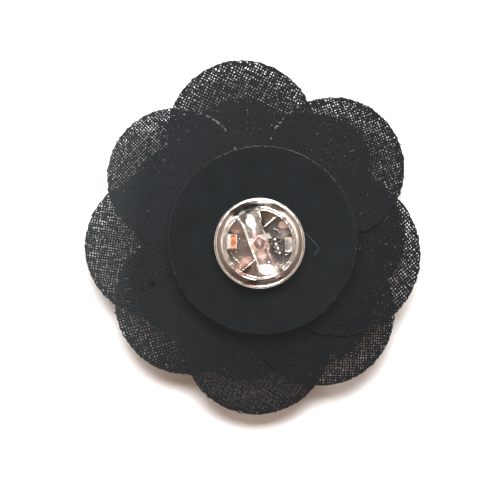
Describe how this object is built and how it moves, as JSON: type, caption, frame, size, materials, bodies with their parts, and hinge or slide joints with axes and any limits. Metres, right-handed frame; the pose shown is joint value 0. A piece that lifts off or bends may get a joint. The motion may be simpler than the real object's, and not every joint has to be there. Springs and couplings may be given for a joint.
{
  "type": "flower lapel pin",
  "caption": "Fabric flower lapel pin lying face down, with layered round mesh petals, a felt backing and a butterfly clutch on its post.",
  "frame": {"origin": "the post's axis where the post leaves the felt", "axes": "+Z along the post towards its point and the clutch, +Y towards the top petal, the flower's front is -Z"},
  "size_m": [0.0433, 0.0458, 0.0249],
  "materials": {
    "mesh": "open woven mesh",
    "felt": "pressed felt",
    "glue": "matte",
    "steel": "drawn",
    "nickel": "bright nickel plate"
  },
  "bodies": {
    "flower": {"back_petal_1": "mesh", "back_petal_2": "mesh", "back_petal_3": "mesh", "back_petal_4": "mesh", "back_petal_5": "mesh", "back_petal_6": "mesh", "back_petal_7": "mesh", "back_petal_8": "mesh", "middle_petal_1": "mesh", "middle_petal_2": "mesh", "middle_petal_3": "mesh", "middle_petal_4": "mesh", "middle_petal_5": "mesh", "middle_petal_6": "mesh", "middle_petal_7": "mesh", "front_petal_1": "mesh", "front_petal_2": "mesh", "front_petal_3": "mesh", "front_petal_4": "mesh", "front_petal_5": "mesh", "rolled_bud": "mesh", "petal_core": "glue", "felt_disc": "felt", "pin_post": "steel"},
    "clutch": {"clutch_pan": "nickel", "clutch_spring": "nickel"},
    "wing_left": {"wing_left": "nickel"},
    "wing_right": {"wing_right": "nickel"}
  },
  "joints": [
    {"name": "clutch_slide", "type": "slide", "parent": "flower", "child": "clutch", "axis": [0, 0, 1], "range_m": [0, 0.012]},
    {"name": "wing_left_squeeze", "type": "hinge", "parent": "clutch", "child": "wing_left", "pos_m": [-0.00132, -0.00048, 0.00428], "axis": [-0.342, 0.9397, 0], "range_deg": [0, 6], "stiffness_Nm_per_rad": 0.005},
    {"name": "wing_right_squeeze", "type": "hinge", "parent": "clutch", "child": "wing_right", "pos_m": [0.00132, 0.00048, 0.00428], "axis": [0.342, -0.9397, 0], "range_deg": [0, 6], "stiffness_Nm_per_rad": 0.005}
  ]
}
